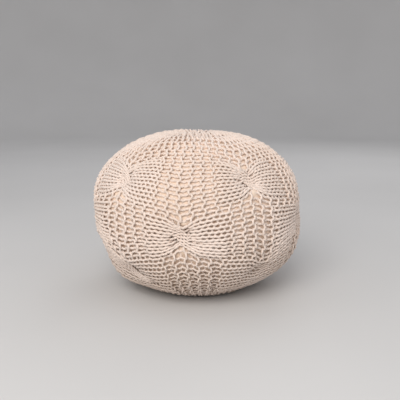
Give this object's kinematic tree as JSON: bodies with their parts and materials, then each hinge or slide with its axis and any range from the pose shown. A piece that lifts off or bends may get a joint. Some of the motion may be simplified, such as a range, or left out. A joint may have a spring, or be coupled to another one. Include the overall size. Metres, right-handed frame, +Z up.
{
  "type": "knitted pouf",
  "caption": "Round filled floor cushion in chunky knitted cord, with a drawn-in crown, pinched gathers around its sides and a flat foot to stand on.",
  "frame": {"origin": "on the floor, under the middle of the pouf's box", "axes": "+Z up from the foot to the crown; -Y faces the viewer, with the front pinch of the middle row a little to its left; +X to the viewer's right"},
  "size_m": [0.5222, 0.5178, 0.3907],
  "materials": {
    "yarn": "soft matt cotton cord in a warm ivory, knitted in a chunky garter stitch"
  },
  "bodies": {
    "root": {"pouf": "yarn"}
  },
  "joints": []
}
